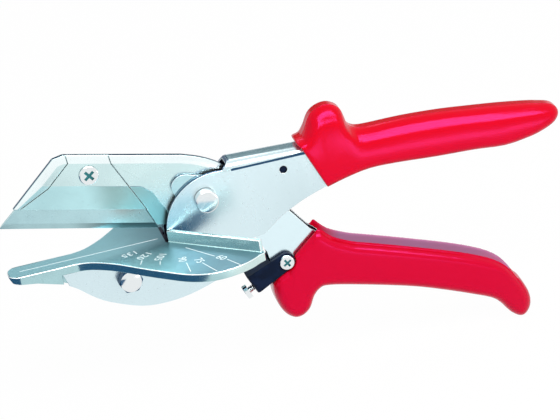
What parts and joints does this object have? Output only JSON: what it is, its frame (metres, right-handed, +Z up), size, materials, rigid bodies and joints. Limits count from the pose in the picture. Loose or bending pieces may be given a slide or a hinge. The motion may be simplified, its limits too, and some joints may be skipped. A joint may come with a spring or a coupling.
{
  "type": "mitre shears",
  "caption": "Hand shears for plastic and rubber strip: a clamped trapezoid blade closes on an anvil with an angle scale and 45 degree fences, spring opened.",
  "frame": {"origin": "on the anvil table's top face, in the blade's plane, where the rays of the angle scale meet", "axes": "+X along the anvil towards the handles, +Z up out of the table, +Y away from the side that carries the scale"},
  "size_m": [0.2154, 0.0862, 0.1065],
  "materials": {
    "chrome_plate": "bright plated sheet",
    "satin_casting": "satin plated casting",
    "blade_steel": "ground",
    "zinc_plate": "bright zinc plate",
    "spring_steel": "oiled",
    "red_plastic": "glossy dipped plastic",
    "black_plastic": "moulded, slightly glossy"
  },
  "bodies": {
    "anvil_side": {"upper_handle_shell": "chrome_plate", "upper_grip": "red_plastic", "anvil_table": "satin_casting", "anvil_bolt": "zinc_plate", "anvil_washer": "zinc_plate", "anvil_nut": "zinc_plate", "pivot_pin": "zinc_plate", "spring_seat_upper": "black_plastic", "spring_pin": "zinc_plate", "opening_spring": "spring_steel"},
    "blade_side": {"lower_handle_shell": "chrome_plate", "lower_grip": "red_plastic", "blade_holder": "satin_casting", "blade_clamp_plate": "satin_casting", "blade": "blade_steel", "pivot_bush": "spring_steel", "clamp_screw": "zinc_plate", "blade_pin_front": "zinc_plate", "blade_pin_rear": "zinc_plate", "holder_rivet_front": "zinc_plate", "holder_rivet_rear": "zinc_plate", "spring_seat_lower": "black_plastic", "stop_block": "black_plastic", "stop_block_screw": "zinc_plate", "stop_block_nut": "zinc_plate"},
    "stop_screw": {"stop_adjusting_screw": "zinc_plate"}
  },
  "joints": [
    {"name": "handle_pivot", "type": "hinge", "parent": "anvil_side", "child": "blade_side", "pos_m": [0.01676, 0, 0.0132], "axis": [0, -1, 0], "range_deg": [0, 13.6], "stiffness_Nm_per_rad": 1.5, "springref_deg": -17.19, "deforming": ["opening_spring"]},
    {"name": "stop_screw_travel", "type": "slide", "parent": "blade_side", "child": "stop_screw", "axis": [-0.907, 0, -0.421], "range_m": [-0.0015, 0.002]}
  ]
}
